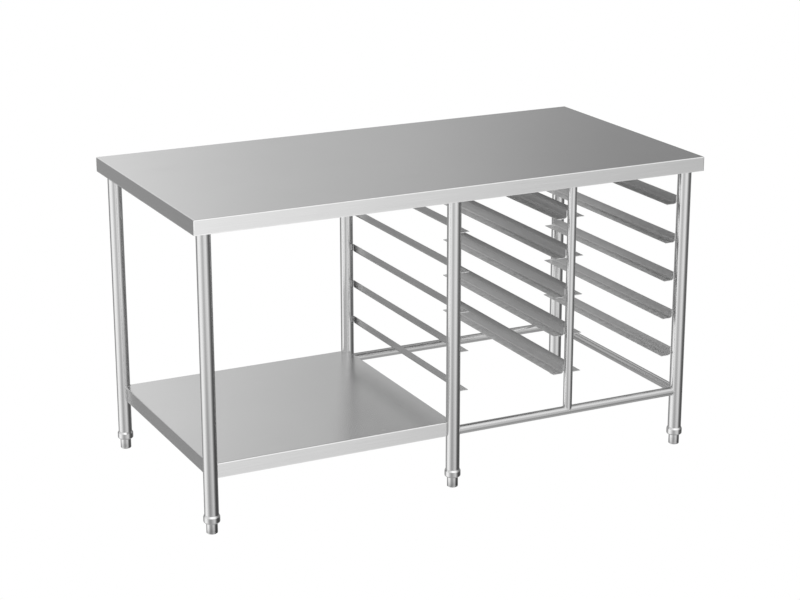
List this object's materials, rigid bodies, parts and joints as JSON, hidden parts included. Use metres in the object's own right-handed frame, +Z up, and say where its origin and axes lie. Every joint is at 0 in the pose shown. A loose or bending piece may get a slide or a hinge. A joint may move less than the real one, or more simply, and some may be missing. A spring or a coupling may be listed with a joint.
{
  "type": "stainless work table",
  "caption": "Stainless kitchen work table: flat top with folded edges, undershelf at one end, tray runners on both sides of a thin post, tubular legs, screw feet.",
  "frame": {"origin": "on the floor under the middle of the worktop, with the feet as set at rest", "axes": "+Z up, X along the table with the undershelf at -X and the tray runners at +X, front edge at -Y"},
  "size_m": [1.5, 0.75, 0.85],
  "materials": {
    "brushed_sheet": "satin, straight grain",
    "tube_steel": "satin, fine grain along the tube",
    "folded_steel": "mill finish",
    "bright_steel": "polished",
    "nylon": "moulded"
  },
  "bodies": {
    "table": {"worktop": "brushed_sheet", "top_channel_front": "folded_steel", "top_channel_rear": "folded_steel", "top_channel_left": "folded_steel", "top_channel_middle": "folded_steel", "top_channel_post": "folded_steel", "top_channel_right": "folded_steel", "undershelf": "brushed_sheet", "shelf_channel": "folded_steel", "leg_front_left": "tube_steel", "leg_front_middle": "tube_steel", "leg_front_right": "tube_steel", "leg_rear_left": "tube_steel", "leg_rear_middle": "tube_steel", "leg_rear_right": "tube_steel", "post_front": "tube_steel", "post_rear": "tube_steel", "stretcher_front": "tube_steel", "stretcher_rear": "tube_steel", "stretcher_side": "tube_steel", "runner_middle_1": "folded_steel", "runner_middle_2": "folded_steel", "runner_middle_3": "folded_steel", "runner_middle_4": "folded_steel", "runner_middle_5": "folded_steel", "runner_post_left_1": "folded_steel", "runner_post_left_2": "folded_steel", "runner_post_left_3": "folded_steel", "runner_post_left_4": "folded_steel", "runner_post_left_5": "folded_steel", "runner_post_right_1": "folded_steel", "runner_post_right_2": "folded_steel", "runner_post_right_3": "folded_steel", "runner_post_right_4": "folded_steel", "runner_post_right_5": "folded_steel", "runner_right_1": "folded_steel", "runner_right_2": "folded_steel", "runner_right_3": "folded_steel", "runner_right_4": "folded_steel", "runner_right_5": "folded_steel", "foot_socket_front_left": "bright_steel", "foot_socket_front_middle": "bright_steel", "foot_socket_front_right": "bright_steel", "foot_socket_rear_left": "bright_steel", "foot_socket_rear_middle": "bright_steel", "foot_socket_rear_right": "bright_steel"},
    "pad_front_left": {"foot_pad_front_left": "nylon"},
    "bullet_front_left": {"foot_body_front_left": "bright_steel"},
    "pad_front_middle": {"foot_pad_front_middle": "nylon"},
    "bullet_front_middle": {"foot_body_front_middle": "bright_steel"},
    "pad_front_right": {"foot_pad_front_right": "nylon"},
    "bullet_front_right": {"foot_body_front_right": "bright_steel"},
    "pad_rear_left": {"foot_pad_rear_left": "nylon"},
    "bullet_rear_left": {"foot_body_rear_left": "bright_steel"},
    "pad_rear_middle": {"foot_pad_rear_middle": "nylon"},
    "bullet_rear_middle": {"foot_body_rear_middle": "bright_steel"},
    "pad_rear_right": {"foot_pad_rear_right": "nylon"},
    "bullet_rear_right": {"foot_body_rear_right": "bright_steel"}
  },
  "joints": [
    {"name": "foot_lift_front_left", "type": "slide", "parent": "table", "child": "pad_front_left", "axis": [0, 0, 1], "range_m": [-0.0245, 0.0035]},
    {"name": "foot_screw_front_left", "type": "hinge", "parent": "pad_front_left", "child": "bullet_front_left", "pos_m": [-0.712, -0.337, 0], "axis": [0, 0, 1], "range_deg": [-5040, 720]},
    {"name": "foot_lift_front_middle", "type": "slide", "parent": "table", "child": "pad_front_middle", "axis": [0, 0, 1], "range_m": [-0.0245, 0.0035]},
    {"name": "foot_screw_front_middle", "type": "hinge", "parent": "pad_front_middle", "child": "bullet_front_middle", "pos_m": [-0.009, -0.337, 0], "axis": [0, 0, 1], "range_deg": [-5040, 720]},
    {"name": "foot_lift_front_right", "type": "slide", "parent": "table", "child": "pad_front_right", "axis": [0, 0, 1], "range_m": [-0.0245, 0.0035]},
    {"name": "foot_screw_front_right", "type": "hinge", "parent": "pad_front_right", "child": "bullet_front_right", "pos_m": [0.712, -0.337, 0], "axis": [0, 0, 1], "range_deg": [-5040, 720]},
    {"name": "foot_lift_rear_left", "type": "slide", "parent": "table", "child": "pad_rear_left", "axis": [0, 0, 1], "range_m": [-0.0245, 0.0035]},
    {"name": "foot_screw_rear_left", "type": "hinge", "parent": "pad_rear_left", "child": "bullet_rear_left", "pos_m": [-0.712, 0.337, 0], "axis": [0, 0, 1], "range_deg": [-5040, 720]},
    {"name": "foot_lift_rear_middle", "type": "slide", "parent": "table", "child": "pad_rear_middle", "axis": [0, 0, 1], "range_m": [-0.0245, 0.0035]},
    {"name": "foot_screw_rear_middle", "type": "hinge", "parent": "pad_rear_middle", "child": "bullet_rear_middle", "pos_m": [-0.009, 0.337, 0], "axis": [0, 0, 1], "range_deg": [-5040, 720]},
    {"name": "foot_lift_rear_right", "type": "slide", "parent": "table", "child": "pad_rear_right", "axis": [0, 0, 1], "range_m": [-0.0245, 0.0035]},
    {"name": "foot_screw_rear_right", "type": "hinge", "parent": "pad_rear_right", "child": "bullet_rear_right", "pos_m": [0.712, 0.337, 0], "axis": [0, 0, 1], "range_deg": [-5040, 720]}
  ],
  "couplings": [
    {"joint": "foot_screw_front_left", "follows": "foot_lift_front_left", "rad_per_m": 3590.4},
    {"joint": "foot_screw_front_middle", "follows": "foot_lift_front_middle", "rad_per_m": 3590.4},
    {"joint": "foot_screw_front_right", "follows": "foot_lift_front_right", "rad_per_m": 3590.4},
    {"joint": "foot_screw_rear_left", "follows": "foot_lift_rear_left", "rad_per_m": 3590.4},
    {"joint": "foot_screw_rear_middle", "follows": "foot_lift_rear_middle", "rad_per_m": 3590.4},
    {"joint": "foot_screw_rear_right", "follows": "foot_lift_rear_right", "rad_per_m": 3590.4}
  ]
}
